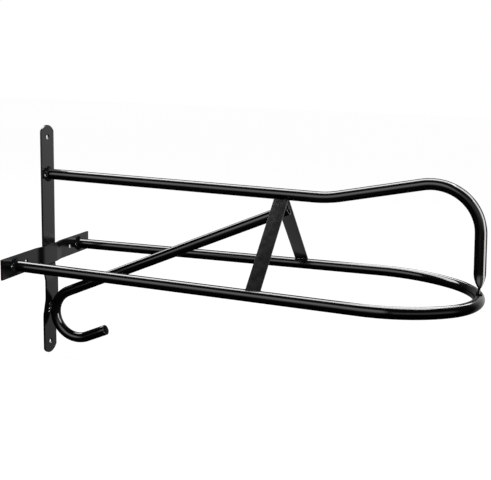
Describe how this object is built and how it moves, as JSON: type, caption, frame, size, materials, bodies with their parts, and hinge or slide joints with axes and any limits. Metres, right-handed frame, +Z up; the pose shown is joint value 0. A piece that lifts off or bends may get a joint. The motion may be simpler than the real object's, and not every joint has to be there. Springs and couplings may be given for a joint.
{
  "type": "saddle rack",
  "caption": "Wall-mounted saddle rack: a seat loop and a ridge rail of round tube on two crossed wall straps, with leg supports and a brace that ends in a bridle hook.",
  "frame": {"origin": "on the wall plane, at the centre of the crossbar and halfway between its two screw holes", "axes": "+X straight out of the wall, +Y to the left for someone facing out of the wall, +Z up"},
  "size_m": [0.6539, 0.248, 0.36],
  "materials": {
    "tube_coat": "gloss black powder coat",
    "strap_coat": "gloss black powder coat",
    "leg_coat": "semi-gloss black powder coat",
    "weld_coat": "gloss black powder coat over rippled weld"
  },
  "bodies": {
    "root": {"upright": "strap_coat", "crossbar": "strap_coat", "seat_loop": "tube_coat", "ridge_rail": "tube_coat", "brace_hook": "tube_coat", "left_leg": "leg_coat", "right_leg": "leg_coat", "weld_rail_root": "weld_coat", "weld_left_arm_root": "weld_coat", "weld_right_arm_root": "weld_coat", "weld_crossing_top": "weld_coat", "weld_crossing_bottom": "weld_coat", "weld_hook_left": "weld_coat", "weld_hook_right": "weld_coat", "weld_left_leg_top": "weld_coat", "weld_right_leg_top": "weld_coat", "weld_brace_end": "weld_coat", "weld_left_leg_foot": "weld_coat", "weld_right_leg_foot": "weld_coat", "weld_rail_front": "weld_coat"}
  },
  "joints": []
}
